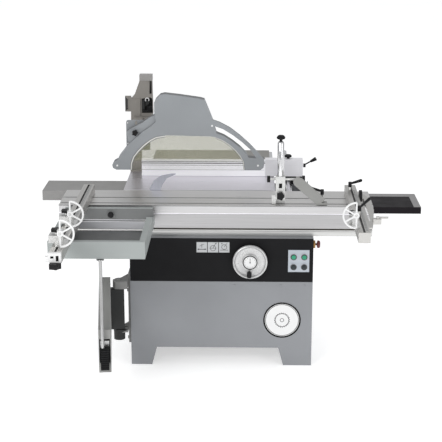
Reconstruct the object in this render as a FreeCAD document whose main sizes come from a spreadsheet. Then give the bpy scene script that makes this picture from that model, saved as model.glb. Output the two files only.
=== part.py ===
"""Sliding-table panel saw, modelled as an assembly of separate pieces.

Frame: origin on the floor at the centre of the four floor bolts, +X towards the infeed end,
+Y from the sliding table towards the rip fence, +Z up.  The blade stands in the plane Y = 0.
All lengths are in millimetres.
"""
import FreeCAD
import Part

import math
import os
import re

from FreeCAD import Placement, Rotation, Vector

# Driving dimensions -------------------------------------------------------------------------------
SIZES = {
    "table_height": 850,
    "carriage_length": 1600,
    "carriage_left": -833,
    "carriage_front": -310,
    "carriage_inner": -5,
    "carriage_base": 730,
    "beam_back": -205,
    "beam_base": 690,
    "beam_depth": 32,
    "base_left": -472,
    "base_right": 466,
    "base_front": -355,
    "base_back": 385,
    "base_rear_top": 810,
    "sheet": 4,
    "cutout_height": 97,
    "bolt_reach_x": 430,
    "bolt_reach_y": 320,
    "bolt_radius": 6,
    "panel_base": 459,
    "panel_skin": 2,
    "main_left": -532,
    "main_right": 258,
    "main_front": 5,
    "main_back": 490,
    "main_depth": 40,
    "outfeed_left": -967,
    "outfeed_top": 842,
    "outfeed_depth": 53,
    "outfeed_back": 232,
    "widening_left": -429,
    "widening_back": 990,
    "rail_x": 352,
    "rail_z": 826,
    "rail_radius": 17,
    "rail_end": 1027,
    "column_side": 54,
    "column_left": -525,
    "column_front": 436,
    "column_top": 1262,
    "outrigger_left": -790,
    "outrigger_right": -340,
    "outrigger_front": -965,
    "outrigger_back": -353,
    "outrigger_base": 768,
    "outrigger_tube": 27,
    "fence_width": 56,
    "fence_base": 852,
    "fence_top": 900,
    "crosscut_left": -731,
    "crosscut_far": -88,
    "crosscut_near": -1290,
    "short_left": 637,
    "short_far": -65,
    "short_near": -958,
    "flag_radius": 64,
    "flag_height": 968,
    "rip_front": 315,
    "rip_left": -459,
    "rip_split": 226,
    "rip_right": 435,
    "rip_top": 944,
    "arbor_x": -180,
    "arbor_z": 688,
    "blade_radius": 157.5,
    "blade_half": 1.6,
    "bore_radius": 15,
    "motor_x": -60,
    "motor_z": 550,
    "motor_radius": 75,
    "scoring_x": 48,
    "scoring_z": 785,
    "scoring_radius": 60,
    "guard_half": 28,
    "wheel_x": 144,
    "wheel_z": 576,
    "wheel_radius": 88,
    "lift_wheel_y": 60,
    "lift_wheel_z": 560,
    "button_radius": 11,
    "pivot_x": -530,
    "pivot_y": -370,
    "arm_width": 58,
    "post_radius": 8,
    "hold_x": 298,
    "hold_y": -270,
    "hold_radius": 17,
    "dust_x": -330,
    "dust_z": 600,
    "dust_radius": 50,
}

ARM_REST_ANGLE = 6.0
RUNNING_GAP = 0.4

doc = FreeCAD.newDocument("PanelSaw")
sheet = doc.addObject("Spreadsheet::Sheet", "Sizes")
for row, (alias, value) in enumerate(SIZES.items(), start=1):
    sheet.set(f"A{row}", alias)
    sheet.set(f"B{row}", str(value))
    sheet.setAlias(f"B{row}", alias)
doc.recompute()

NODES = []


class Size:
    """Reads a driving dimension from the sheet as a plain number."""

    def __getattr__(self, alias):
        return float(sheet.get(alias))


size = Size()

# Building blocks ----------------------------------------------------------------------------------
AXES = {
    "X": Rotation(Vector(0, 1, 0), 90),
    "-X": Rotation(Vector(0, 1, 0), -90),
    "Y": Rotation(Vector(1, 0, 0), -90),
    "-Y": Rotation(Vector(1, 0, 0), 90),
    "Z": Rotation(),
    "-Z": Rotation(Vector(1, 0, 0), 180),
}
PLANES = {"XY": "XY_Plane", "XZ": "XZ_Plane", "YZ": "YZ_Plane"}


def with_sheet(formula):
    """Turns words that are aliases into references to the sheet."""
    return re.sub(r"[a-z][a-z_]*", lambda m: f"Sizes.{m.group(0)}" if m.group(0) in SIZES else m.group(0),
                  formula)


def bind(thing, prop, value):
    """Sets one property from a number, or binds it to a formula in aliases."""
    if isinstance(value, str):
        thing.setExpression(prop, with_sheet(value))
    else:
        setattr(thing, prop, value)


def place(thing, x, y, z, rotation=None):
    """Puts an object at a point, each coordinate a number or a formula."""
    numbers = [0.0 if isinstance(value, str) else value for value in (x, y, z)]
    thing.Placement = Placement(Vector(*numbers), rotation or Rotation())
    for axis, value in zip("xyz", (x, y, z)):
        if isinstance(value, str):
            thing.setExpression(f"Placement.Base.{axis}", with_sheet(value))


def box(name, x, y, z, length, width, height):
    block = doc.addObject("Part::Box", name)
    for prop, value in (("Length", length), ("Width", width), ("Height", height)):
        bind(block, prop, value)
    place(block, x, y, z)
    return block


def rod(name, x, y, z, axis, radius, length):
    bar = doc.addObject("Part::Cylinder", name)
    bind(bar, "Radius", radius)
    bind(bar, "Height", length)
    place(bar, x, y, z, AXES[axis])
    return bar


def ball(name, x, y, z, radius):
    sphere = doc.addObject("Part::Sphere", name)
    bind(sphere, "Radius", radius)
    place(sphere, x, y, z)
    return sphere


def join(name, pieces):
    """One solid out of pieces that touch."""
    whole = doc.addObject("Part::MultiFuse", name)
    whole.Shapes = pieces
    whole.Refine = True
    return whole


def group(name, pieces):
    """Separate solids that share one node."""
    bundle = doc.addObject("Part::Compound", name)
    bundle.Links = pieces
    return bundle


def cut(name, base, tools):
    result = doc.addObject("Part::Cut", name)
    result.Base = base
    result.Tool = tools[0] if len(tools) == 1 else group(f"{name}_tools", tools)
    return result


def node(name, thing):
    thing.Label = name
    NODES.append(thing)
    return thing


def draw(sketch, outline):
    """Adds a closed outline of points; ('arc', through, end) is an arc that starts at the last point."""
    start = Vector(*outline[0], 0)
    here = start
    for step in outline[1:] + [outline[0]]:
        curved = step[0] == "arc"
        end = Vector(*(step[2] if curved else step), 0)
        if here.distanceToPoint(end) > 1e-6:
            edge = Part.Arc(here, Vector(*step[1], 0), end) if curved else Part.LineSegment(here, end)
            sketch.addGeometry(edge, False)
        here = end


def prism(name, plane, outline, start, thickness, holes=()):
    """A plate cut to an outline in one of the three planes, padded along that plane's positive axis."""
    body = doc.addObject("PartDesign::Body", name)
    sketch = body.newObject("Sketcher::SketchObject", f"{name}_outline")
    origin = [plane_ for plane_ in body.Origin.OriginFeatures if plane_.Role == PLANES[plane]][0]
    sketch.AttachmentSupport = [(origin, "")]
    sketch.MapMode = "FlatFace"
    draw(sketch, outline)
    for across, up, radius in holes:
        sketch.addGeometry(Part.Circle(Vector(across, up, 0), Vector(0, 0, 1), radius), False)
    pad = body.newObject("PartDesign::Pad", f"{name}_pad")
    pad.Profile = sketch
    bind(pad, "Length", thickness)
    pad.Reversed = plane == "XZ"
    where = {"XY": (0, 0, start), "XZ": (0, start, 0), "YZ": (start, 0, 0)}[plane]
    place(body, *where)
    return body


def turned(name, profile, axis, x, y, z):
    """A body of revolution from (radius, height) points, its axis turned to the given direction."""
    body = doc.addObject("PartDesign::Body", name)
    sketch = body.newObject("Sketcher::SketchObject", f"{name}_profile")
    origin = [plane_ for plane_ in body.Origin.OriginFeatures if plane_.Role == "XZ_Plane"][0]
    sketch.AttachmentSupport = [(origin, "")]
    sketch.MapMode = "FlatFace"
    draw(sketch, profile)
    revolution = body.newObject("PartDesign::Revolution", f"{name}_turn")
    revolution.Profile = sketch
    revolution.ReferenceAxis = (sketch, ["V_Axis"])
    revolution.Angle = 360
    place(body, x, y, z, AXES[axis])
    return body


def tube_box(name, x, y, z, length, width, height, wall, open_axis):
    """A rectangular tube, open along one axis."""
    outer = box(f"{name}_outer", x, y, z, length, width, height)
    shift = {"X": (-1, wall, wall), "Y": (wall, -1, wall), "Z": (wall, wall, -1)}[open_axis]
    spans = [length, width, height]
    inner = [spans[i] + 2 if shift[i] == -1 else spans[i] - 2 * wall for i in range(3)]
    core = box(f"{name}_core", x + shift[0], y + shift[1], z + shift[2], *inner)
    return cut(name, outer, [core])


def ribbed_slab(name, left, right, front, back, base, top, skin, wall, across, deep):
    """A table: a flat top with a rim and crossing ribs underneath."""
    slab = box(f"{name}_slab", left, front, base, right - left, back - front, top - base)
    pocket_x = (right - left - wall * (across + 1)) / across
    pocket_y = (back - front - wall * (deep + 1)) / deep
    pockets = []
    for i in range(across):
        for j in range(deep):
            x = left + wall + i * (pocket_x + wall)
            y = front + wall + j * (pocket_y + wall)
            pockets.append(box(f"{name}_pocket_{i}_{j}", x, y, base - 1, pocket_x, pocket_y,
                               top - base - skin + 1))
    return cut(f"{name}_casting", slab, pockets)


def star_grip(name, axis, x, y, z, radius, length, lobes=5):
    """A hand knob with rounded lobes, its stem at the start of the axis."""
    core = rod(f"{name}_core", x, y, z, axis, radius * 0.8, length)
    grips = [core]
    direction = AXES[axis].multVec(Vector(0, 0, 1))
    side = AXES[axis].multVec(Vector(1, 0, 0))
    up = direction.cross(side)
    for i in range(lobes):
        turn = 2 * math.pi * i / lobes
        outward = side * math.cos(turn) + up * math.sin(turn)
        spot = Vector(x, y, z) + outward * (radius * 0.72)
        grips.append(rod(f"{name}_lobe_{i}", spot.x, spot.y, spot.z, axis, radius * 0.28, length))
    return join(name, grips)


def clamp_lever(name, x, y, z, reach, rise, heading):
    """A ratchet lever: a hub on a vertical stud and a tapering arm, at a heading in degrees from +X."""
    hub = rod(f"{name}_hub", x, y, z, "Z", 9, 26)
    arm = doc.addObject("Part::Cone", f"{name}_arm")
    arm.Radius1 = 5.5
    arm.Radius2 = 8
    arm.Height = math.hypot(reach, rise)
    turn = math.radians(heading)
    along = Vector(reach * math.cos(turn), reach * math.sin(turn), rise)
    arm.Placement = Placement(Vector(x, y, z + 17), Rotation(Vector(0, 0, 1), along))
    tip = Vector(x, y, z + 17) + along
    end = ball(f"{name}_end", tip.x, tip.y, tip.z, 8)
    return join(name, [hub, arm, end])


# Base ---------------------------------------------------------------------------------------------
def make_base():
    """Sheet cabinet on four splayed feet, with a deck for the slide beam and taller walls at the rear."""
    left, right = size.base_left, size.base_right
    front, back, skin = size.base_front, size.base_back, size.sheet
    deck, rear_top, gap = size.beam_base, size.base_rear_top, size.cutout_height
    feet = [(left, 0), (left + 108, 0), (left + 134, gap), (293, gap), (319, 0), (right, 0)]
    button_holes = [(x, z, 12) for x in (366, 420) for z in (594, 541)]
    front_wall = prism("front_wall", "XZ", feet + [(right, deck), (left, deck)], front, "sheet",
                       [(size.wheel_x, size.wheel_z, 12)] + button_holes)
    notch = size.main_right - 8
    rear_wall = prism("rear_wall", "XZ", feet + [(right, rear_top - 16), (notch, rear_top - 16),
                                                 (notch, rear_top), (left, rear_top)], back - skin, "sheet",
                      [(size.dust_x, size.dust_z, size.dust_radius + 0.5)])
    hatch = box("hatch_opening", -200, back - skin - 1, 150, 500, skin + 2, 450)
    rear_wall = cut("rear_wall_open", rear_wall, [hatch])
    side = [(front, 0), (back, 0), (back, rear_top), (10, rear_top), (10, deck), (front, deck)]
    left_wall = prism("left_wall", "YZ", side, left, "sheet")
    right_wall = prism("right_wall", "YZ", side, right - skin, "sheet",
                       [(size.lift_wheel_y, size.lift_wheel_z, 12)])
    deck_plate = box("deck", "base_left", "base_front", "beam_base - sheet", "base_right - base_left", 155,
                     "sheet")
    ledge = box("rear_ledge", "base_left", "base_back - 45", "base_rear_top - sheet",
                "main_right - 8 - base_left", 45, "sheet")
    inlet = box("inlet_box", 350, "base_back", 640, 80, 40, 90)
    gland = rod("inlet_gland", 390, back + 20, 641, "-Z", 11, 26)
    pieces = [front_wall, rear_wall, left_wall, right_wall, deck_plate, ledge, inlet, gland]
    for i, sx in enumerate((-1, 1)):
        for j, sy in enumerate((-1, 1)):
            x = left if sx < 0 else right - 80
            y = front if sy < 0 else back - 100
            pad = box(f"foot_pad_{i}{j}", x, y, 0, 80, 100, 8)
            hole = rod(f"foot_hole_{i}{j}", f"{sx} * bolt_reach_x", f"{sy} * bolt_reach_y", -1, "Z",
                       "bolt_radius", 10)
            pieces.append(cut(f"foot_{i}{j}", pad, [hole]))
    node("base_cabinet", join("cabinet_shell", pieces))

    door = box("door_skin", -215, back + 0.5, 135, 530, 3, 480)
    rim_outer = box("door_rim_outer", -195, back - 18, 155, 490, 18.5, 440)
    rim_inner = box("door_rim_inner", -193, back - 19, 157, 486, 20.5, 436)
    rim = cut("door_rim", rim_outer, [rim_inner])
    latch = rod("door_latch", -180, back + 3.5, 375, "Y", 12, 8)
    knuckles = [rod(f"door_knuckle_{i}", 318, back + 6.5, z, "Z", 6, 50) for i, z in enumerate((190, 510))]
    node("rear_door", join("door", [door, rim, latch] + knuckles))

    port = rod("port_outside", "dust_x", "base_back - 20", "dust_z", "Y", "dust_radius", 90)
    port_bore = rod("port_inside", "dust_x", "base_back - 21", "dust_z", "Y", "dust_radius - 3", 92)
    flange = rod("port_flange", "dust_x", "base_back", "dust_z", "Y", "dust_radius + 14", 3)
    node("dust_port", cut("port", join("port_body", [port, flange]), [port_bore]))


def make_panel():
    """Black control panel, its plates and buttons, and the emergency stop on the infeed side."""
    front, skin = size.base_front, size.panel_skin
    left, right = size.base_left + 2, size.base_right
    buttons = [(x, z) for x in (366, 420) for z in (594, 541)]
    holes = [(x, z, 12) for x, z in buttons] + [(size.wheel_x, size.wheel_z, 12)]
    outline = [(left, size.panel_base), (right, size.panel_base), (right, size.beam_base),
               (left, size.beam_base)]
    node("front_panel", prism("panel", "XZ", outline, front - skin, "panel_skin", holes))

    plate = prism("switch_plate", "XZ", [(338, 514), (446, 514), (446, 631), (338, 631)], front - skin - 3,
                  3, [(x, z, size.button_radius + RUNNING_GAP) for x, z in buttons])
    bezels = []
    for i, (x, z) in enumerate(buttons):
        ring = rod(f"bezel_{i}", x, front - skin - 3, z, "-Y", 15, 4)
        bore = rod(f"bezel_bore_{i}", x, front - skin - 2, z, "-Y", size.button_radius + RUNNING_GAP, 6)
        bezels.append(cut(f"bezel_ring_{i}", ring, [bore]))
    pictures = [box(f"pictogram_{i}", -130 + 57 * i, front - skin - 1, 614, 56, 1, 57) for i in range(3)]
    badge = rod("badge", 311, front, 251, "-Y", 97, 1.5)
    stop_ring = rod("stop_ring", "base_right", -330, 654, "X", 20, 10)
    stop_well = rod("stop_well", right + 0.5, -330, 654, "X", 6, 12)
    stop_base = cut("stop_base", stop_ring, [stop_well])
    heads = [rod(f"panel_screw_{i}", x, front, 439, "-Y", 5, 3)
             for i, x in enumerate((-370, 66, 302, 425))]
    node("control_plates", group("plates", [join("switch_station", [plate] + bezels), badge, stop_base]
                                 + pictures + heads))

    for name, x in (("start_button_a", 366), ("start_button_b", 420)):
        stem = rod(f"{name}_stem", x, front - skin - 9, 594, "Y", "button_radius - 3", 26)
        cap = rod(f"{name}_cap", x, front - skin - 12, 594, "Y", "button_radius", 10)
        node(name, join(f"{name}_whole", [stem, cap]))
    for name, x in (("selector_a", 366), ("selector_b", 420)):
        stem = rod(f"{name}_stem", x, front - skin - 9, 541, "Y", "button_radius - 3", 26)
        cap = rod(f"{name}_cap", x, front - skin - 10, 541, "Y", "button_radius", 8)
        blade = box(f"{name}_grip", x - 2.5, front - skin - 20, 532, 5, 11, 18)
        node(name, join(f"{name}_whole", [stem, cap, blade]))
    node("estop_button", turned("stop_head", [(0, 6), (5, 6), (5, 16), (19, 20), (20, 30), (14, 35),
                                              (0, 36)], "X", "base_right", -330, 654))


# Tables and guides --------------------------------------------------------------------------------
def make_tables():
    """Cast main table with its two trunnion segments, outfeed table and widening table."""
    top = size.table_height
    table = ribbed_slab("main", size.main_left, size.main_right, size.main_front, size.main_back,
                        top - size.main_depth, top, 14, 14, 5, 3)
    segments = []
    for i, x in enumerate((-425, 212)):
        plate = prism(f"segment_plate_{i}", "YZ", [(12, 811), (190, 811), (190, 690), (-25, 690),
                                                   (-25, 760), (12, 790)], x, 16)
        reach = 140
        groove = 8.4
        first, last = math.radians(4), math.radians(51)
        arc = []
        for radius, start, stop in ((reach + groove, first, last), (reach - groove, last, first)):
            middle = (start + stop) / 2
            points = [(radius * math.sin(a), top - radius * math.cos(a)) for a in (start, middle, stop)]
            arc += [points[0], ("arc", points[1], points[2])]
        slot = prism(f"segment_slot_{i}", "YZ", arc, x - 1, 18)
        ends = [rod(f"segment_end_{i}_{k}", x - 1, reach * math.sin(a), top - reach * math.cos(a), "X",
                    groove, 18) for k, a in enumerate((first, last))]
        segments.append(cut(f"segment_{i}", plate, [slot] + ends))
    node("main_table", join("main_casting", [table] + segments))

    outfeed_top = size.outfeed_top
    node("outfeed_table", ribbed_slab("outfeed", size.outfeed_left, size.main_left, size.main_front,
                                      size.outfeed_back, outfeed_top - size.outfeed_depth, outfeed_top,
                                      7, 6, 4, 2))

    widening = ribbed_slab("widening", size.widening_left, size.main_right, size.main_back,
                           size.widening_back, top - size.main_depth, top, 5, 4, 5, 4)
    arms = [box(f"widening_arm_{i}", x, "base_back", 768, 40, "widening_back - base_back - 10", 42)
            for i, x in enumerate((-300, 150))]
    node("widening_table", join("widening_frame", [widening] + arms))


def make_rail():
    """Flat bar along the tables' infeed edge, carrying the round bar that the rip fence rides on."""
    bar = box("rail_flat", "main_right", "main_front", 806, 18, "widening_back - main_front - 25", 40)
    round_bar = rod("rail_round", "rail_x", "main_front", "rail_z", "Y", "rail_radius",
                    "rail_end - main_front")
    brackets = []
    for i, y in enumerate((30, 480, 930)):
        foot = box(f"rail_foot_{i}", 270, y, 793, 90, 24, 8)
        heel = box(f"rail_heel_{i}", 262, y, 793, 14, 24, 20)
        web = box(f"rail_web_{i}", 344, y, 795, 16, 24, 20)
        brackets += [foot, heel, web]
    node("fence_rail", join("rail", [bar, round_bar] + brackets))


def make_carriage():
    """Fixed beam, roller cage and sliding table, undercut so that the blade can tilt beneath it."""
    left, length = size.carriage_left, size.carriage_length
    front, inner, base, top = (size.carriage_front, size.carriage_inner, size.carriage_base,
                               size.table_height)
    beam = box("beam_outer", "carriage_left", "carriage_front + 1", "beam_base", "carriage_length",
               "beam_back - carriage_front - 1", "beam_depth")
    hollows = [box(f"beam_hollow_{i}", left + 6, front + 7 + i * 49, size.beam_base + 5, length - 12, 43,
                   size.beam_depth - 10) for i in range(2)]
    groove = box("beam_groove", left - 1, front, size.beam_base + 24, length + 2, 4, 3)
    node("slide_beam", cut("beam", beam, hollows + [groove]))

    cage = box("cage_bar", left + 33, -292, size.beam_base + size.beam_depth + 1.4, length - 66, 66, 5)
    rollers = [rod(f"cage_roller_{i}", left + 70 + i * 112, -290, base - 4.1, "Y", 3.6, 62)
               for i in range(14)]
    node("roller_cage", join("cage", [cage] + rollers))

    profile = [(front, base), (front, top), (inner, top), (inner - 14, top - 14), (-44, top - 14),
               (-150, base)]
    extrusion = prism("extrusion", "YZ", profile, left, "carriage_length")
    slots = []
    for i, middle in enumerate((-269, -158)):
        slots.append(box(f"slot_mouth_{i}", left - 1, middle - 6, top - 7, length + 2, 12, 8))
        slots.append(box(f"slot_wide_{i}", left - 1, middle - 11, top - 15, length + 2, 22, 9))
    slots.append(box("front_groove", left - 1, front - 1, 804, length + 2, 4, 5))
    chambers = []
    for i, (near, far) in enumerate(((-304, -240), (-234, -172))):
        chambers.append(box(f"chamber_{i}", left - 1, near, base + 6, length + 2, far - near, 92))
    node("carriage", cut("carriage_profile", extrusion, slots + chambers))

    right = left + length
    tray = box("extension_tray", right, front + 1, 812, 1009 - right, 271, 34)
    hollow = box("extension_hollow", right + 6, front + 5, 811, 1009 - right - 12, 263, 31)
    shell = cut("extension_shell", tray, [hollow])
    rib_a = box("extension_rib_a", right + 84, front + 5, 812, 4, 263, 31)
    rib_b = box("extension_rib_b", right + 160, front + 5, 812, 4, 263, 31)
    node("carriage_extension", join("extension", [shell, rib_a, rib_b]))


# Outrigger and its swing arm ----------------------------------------------------------------------
def make_outrigger():
    """Welded frame hooked to the carriage front, with an aluminium rail and an index knob."""
    left, right = size.outrigger_left, size.outrigger_right
    front, back = size.outrigger_front, size.outrigger_back
    base, top, tube = size.outrigger_base, size.table_height, size.outrigger_tube
    wide = right - left
    front_rail = box("outrigger_front_rail", "outrigger_left", "outrigger_front", "outrigger_base",
                     "outrigger_right - outrigger_left", "outrigger_tube", "table_height - outrigger_base")
    back_rail = box("outrigger_back_rail", "outrigger_left", "outrigger_back - 30", 792,
                    "outrigger_right - outrigger_left - 6", 30, "table_height - 792")
    pieces = [front_rail, back_rail]
    for i, x in enumerate((left, right - tube)):
        pieces.append(box(f"outrigger_side_{i}", x, front, base, tube, back - front - 4, 40))
        pieces.append(box(f"outrigger_cheek_{i}", x, front, base + 40, tube, 430, top - base - 40))
    tray = box("outrigger_tray", left, front, 800, wide, 345, 4)
    rail = box("outrigger_rail", left + tube - 1, -626, 815, wide - 2 * tube + 2, 45, 35)
    rail_groove = box("outrigger_rail_groove", left, -612, 844, wide, 12, 7)
    pieces += [tray, cut("outrigger_slotted_rail", rail, [rail_groove])]
    for i, x in enumerate((left, right - tube)):
        pieces.append(box(f"outrigger_rail_seat_{i}", x, -626, base + 30, tube, 45, 45))
    hooks = []
    for i, x in enumerate((-705, -430)):
        hooks.append(box(f"outrigger_hook_{i}", x, back - 1, 792, 50, size.carriage_front - back + 0.4, 40))
    node("outrigger_frame", join("outrigger", pieces + hooks))
    node("outrigger_knob", turned("index_knob", [(0, 0.6), (7, 0.6), (7, 10), (15, 13), (15, 26), (11, 31),
                                                 (0, 31)], "-Y", -558, back - 30, 823))


def make_swing_arm():
    """Bracket on the cabinet side, the swinging arm, and the telescope that ends in the support post."""
    px, py = size.pivot_x, size.pivot_y
    left = size.base_left
    plate = box("bracket_plate", left - 12, -345, 118, 12, 115, 374)
    lug_outline = [(left - 11, -250), (left - 11, py - 26), (px + 14, py - 30), (px - 14, py - 28),
                   (px - 28, py - 16), (px - 30, py + 4), (px - 18, py + 24), (px + 10, py + 40)]
    upper_lug = prism("upper_lug", "XY", lug_outline, 428, 41)
    lower_lug = prism("lower_lug", "XY", lug_outline, 192, 14)
    boss = rod("hinge_boss", px, py, 150, "Z", 29, 44)
    pin = rod("hinge_pin", px, py, 150, "Z", 10, 320)
    cap = rod("hinge_cap", px, py, 468, "Z", 15, 8)
    bolts = [rod(f"bracket_bolt_{i}", left - 10, y, z, "-X", 9, 8)
             for i, (y, z) in enumerate(((-325, 140), (-250, 140), (-325, 400), (-250, 400)))]
    node("arm_bracket", join("bracket", [plate, boss, pin, cap, upper_lug, lower_lug] + bolts))

    barrel = rod("barrel_outside", px, py, 208, "Z", 18, 218)
    bore = rod("barrel_bore", px, py, 207, "Z", 10 + RUNNING_GAP, 220)
    near = px - 99
    root = box("arm_root", px - 62, py - 24, 208, 90, 38, 218)
    side = [(py + 6, 484), (py - 555, 407), (py - 555, 191), (py + 6, 222)]
    outer = prism("arm_outside", "YZ", side, near, "arm_width")
    cavity = box("arm_cavity", near + 4, py - 556, 240, size.arm_width - 8, 530, 120)
    relief_low = [(py - 20, 236), (py - 545, 236), (py - 545, 196), (py - 20, 228)]
    relief_high = [(py - 20, 478), (py - 545, 403), (py - 545, 364), (py - 20, 364)]
    reliefs = [prism(f"arm_relief_{i}", "YZ", shape, near + 4, "arm_width - 8")
               for i, shape in enumerate((relief_low, relief_high))]
    beam = cut("arm_beam", outer, [cavity] + reliefs)
    arm = cut("arm", join("arm_blank", [beam, root, barrel]), [bore])
    node("swing_arm", arm)

    middle = near + size.arm_width / 2
    bar = tube_box("telescope", middle - 22, py - 556, 250, 44, 520, 100, 4, "Y")
    head = box("telescope_head", middle - 22, py - 562, 246, 44, 6, 108)
    block = box("post_block", middle - 20, py - 596, 218, 40, 34, 108)
    post = rod("post", middle - 10, py - 578, 320, "Z", "post_radius", 440)
    cap = rod("post_cap", middle - 10, py - 578, 758, "Z", 18, 6)
    node("support_post", join("post_assembly", [bar, head, block, post, cap]))
    pivot = Vector(px, py, 0)
    swing = Rotation(Vector(0, 0, 1), ARM_REST_ANGLE)
    turn = Placement(pivot - swing.multVec(pivot), swing)
    for thing in NODES[-2:]:
        thing.Placement = turn


# Crosscut fences and stops ------------------------------------------------------------------------
def flip_stop(tag, hub_x, hub_y, side):
    """A saddle block that clamps on a fence, and the half-disc flag that flips up from its hub."""
    top = size.fence_top
    hub_z = size.flag_height
    reach = size.flag_radius
    foot = box(f"stop_{tag}_foot", hub_x - 28, hub_y + 12, top + 0.4, 50, 84, 12)
    tower = box(f"stop_{tag}_tower", hub_x - 16, hub_y + 12, top + 0.4, 26, 30, hub_z - top + 8)
    lean, wide, grip_radius = (60, 54, 23) if side > 0 else (28, 34, 17)
    seat = box(f"stop_{tag}_seat", hub_x - lean, hub_y + 40, top + 10, wide, 56, 34)
    stem = rod(f"stop_{tag}_stem", hub_x - lean / 2, hub_y + 68, top + 43, "Z", 5, 15)
    grip = star_grip(f"stop_{tag}_grip", "Z", hub_x - lean / 2, hub_y + 68, top + 57, grip_radius, 13)
    axle = rod(f"stop_{tag}_axle", hub_x, hub_y - 12, hub_z, "Y", 6, 30)
    node(f"stop_{tag}", join(f"stop_{tag}_body", [foot, tower, seat, stem, grip, axle]))

    rim_in = reach - 8
    ring = [(hub_x, hub_z - reach), ("arc", (hub_x + side * reach, hub_z), (hub_x, hub_z + reach)),
            (hub_x, hub_z + rim_in), ("arc", (hub_x + side * rim_in, hub_z), (hub_x, hub_z - rim_in))]
    pieces = [prism(f"flag_{tag}_rim", "XZ", ring, hub_y - 10, 8)]
    pieces.append(rod(f"flag_{tag}_hub", hub_x, hub_y - 12, hub_z, "Y", 14, 22))
    for i, angle in enumerate((-90, -30, 30, 90)):
        spoke = box(f"flag_{tag}_spoke_{i}", 0, -3, -3.5, reach - 3, 6, 7)
        turn = Rotation(Vector(0, 1, 0), -angle) if side > 0 else Rotation(Vector(0, 1, 0), 180 + angle)
        corner = Placement(Vector(0, -3, -3.5), Rotation())
        spoke.Placement = Placement(Vector(hub_x, hub_y - 6, hub_z), turn) * corner
        pieces.append(spoke)
    bore = rod(f"flag_{tag}_bore", hub_x, hub_y - 13, hub_z, "Y", 6 + RUNNING_GAP, 24)
    node(f"stop_flag_{tag}", cut(f"flag_{tag}", join(f"flag_{tag}_blank", pieces), [bore]))


def fence_profile(name, left, near, far):
    """Fence extrusion with a T-slot in its top and an open core."""
    base, top, wide = size.fence_base, size.fence_top, size.fence_width
    outer = box(f"{name}_outer", left, near, base, wide, far - near, top - base)
    core = box(f"{name}_core", left + 8, near - 1, base + 5, wide - 16, far - near + 2, 32)
    mouth = box(f"{name}_mouth", left + wide / 2 - 5, near - 1, top - 4, 10, far - near + 2, 5)
    return cut(name, outer, [core, mouth])


def make_crosscut_fence():
    left, wide = size.crosscut_left, size.fence_width
    base, top = size.fence_base, size.fence_top
    far, near = size.crosscut_far, size.crosscut_near
    profile = fence_profile("crosscut_profile", left, near, far)
    end_plate = box("crosscut_far_end", left, far, base, wide, 6, top - base)
    stud = rod("crosscut_stud", left + wide / 2, -158, 838, "Z", 5, 20)
    toe = rod("crosscut_toe", left + wide / 2, -158, 836.5, "Z", 9, 4)
    node("crosscut_fence", join("crosscut", [profile, end_plate, stud, toe]))

    bar = tube_box("extension_bar", left + 10, near - 2, base + 7, wide - 20, 520, 28, 4, "Y")
    block = box("extension_block", left, near - 22, base + 8, wide, 20, top - base - 6)
    window = box("extension_window", left + 34, near - 23, base + 13, 12, 5, 25)
    sight = box("extension_sight", left + 10, near - 23, base + 26, 14, 5, 10)
    flange = box("extension_flange", left - 14, near - 22, base + 8, 16, 8, 28)
    block = cut("extension_end", block, [window, sight])
    grip = star_grip("extension_grip", "-Z", left + 30, near - 31, base + 8, 28, 24)
    node("fence_extension", join("extension_whole", [bar, block, flange, grip]))

    middle = left + wide / 2
    flip_stop("a", middle + 16, -911, 1)
    flip_stop("b", middle + 16, -1228, 1)


def make_short_fence():
    left, wide = size.short_left, size.fence_width
    near, far = size.short_near, size.short_far
    base, top = size.fence_base, size.fence_top
    profile = fence_profile("short_profile", left, near, far)
    end_cap = box("short_near_cap", left, near - 4, base - 2, wide, 5, top - base + 2)
    right = left + wide
    quadrant = prism("quadrant", "XY", [(right - 1, -110), (right + 42, -130), (right + 64, -230),
                                        (right + 64, -440), (right + 30, -757), (right - 1, -757)], 858, 8)
    arc_slot = box("quadrant_slot", right + 22, -640, 857, 10, 420, 10)
    quadrant = cut("quadrant_slotted", quadrant, [arc_slot])
    bolt_block = box("bolt_block", right + 40, -655, 852, 40, 32, 26)
    bolt = rod("index_bolt", right + 62, -639, 882, "X", 6, 52)
    bolt_post = box("bolt_post", right + 56, -647, 868, 14, 16, 20)
    stud = rod("short_stud", left + 27, -158, 838, "Z", 5, 20)
    toe = rod("short_toe", left + 27, -158, 836.5, "Z", 9, 4)
    studs = [rod(f"short_lever_stud_{i}", x, y, top - 2, "Z", 6, 16)
             for i, (x, y) in enumerate(((left + 21, -164), (left + 30, -637)))]
    wheel = rod("lock_wheel", right + 1, -300, 902, "X", 30, 14)
    wheel_post = box("wheel_post", right - 6, -312, 864, 8, 24, 30)
    node("short_fence", join("short_fence_whole", [profile, end_cap, quadrant, bolt_block, bolt, bolt_post,
                                                   stud, toe, wheel, wheel_post] + studs))
    node("fence_lever_a", clamp_lever("lever_a", left + 21, -164, top + 14.5, 58, 14, 14))
    node("fence_lever_b", clamp_lever("lever_b", left + 30, -637, top + 14.5, 86, 26, 52))

    hub_x, hub_y = left - 8, -905
    flip_stop("c", hub_x, hub_y, -1)


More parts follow.
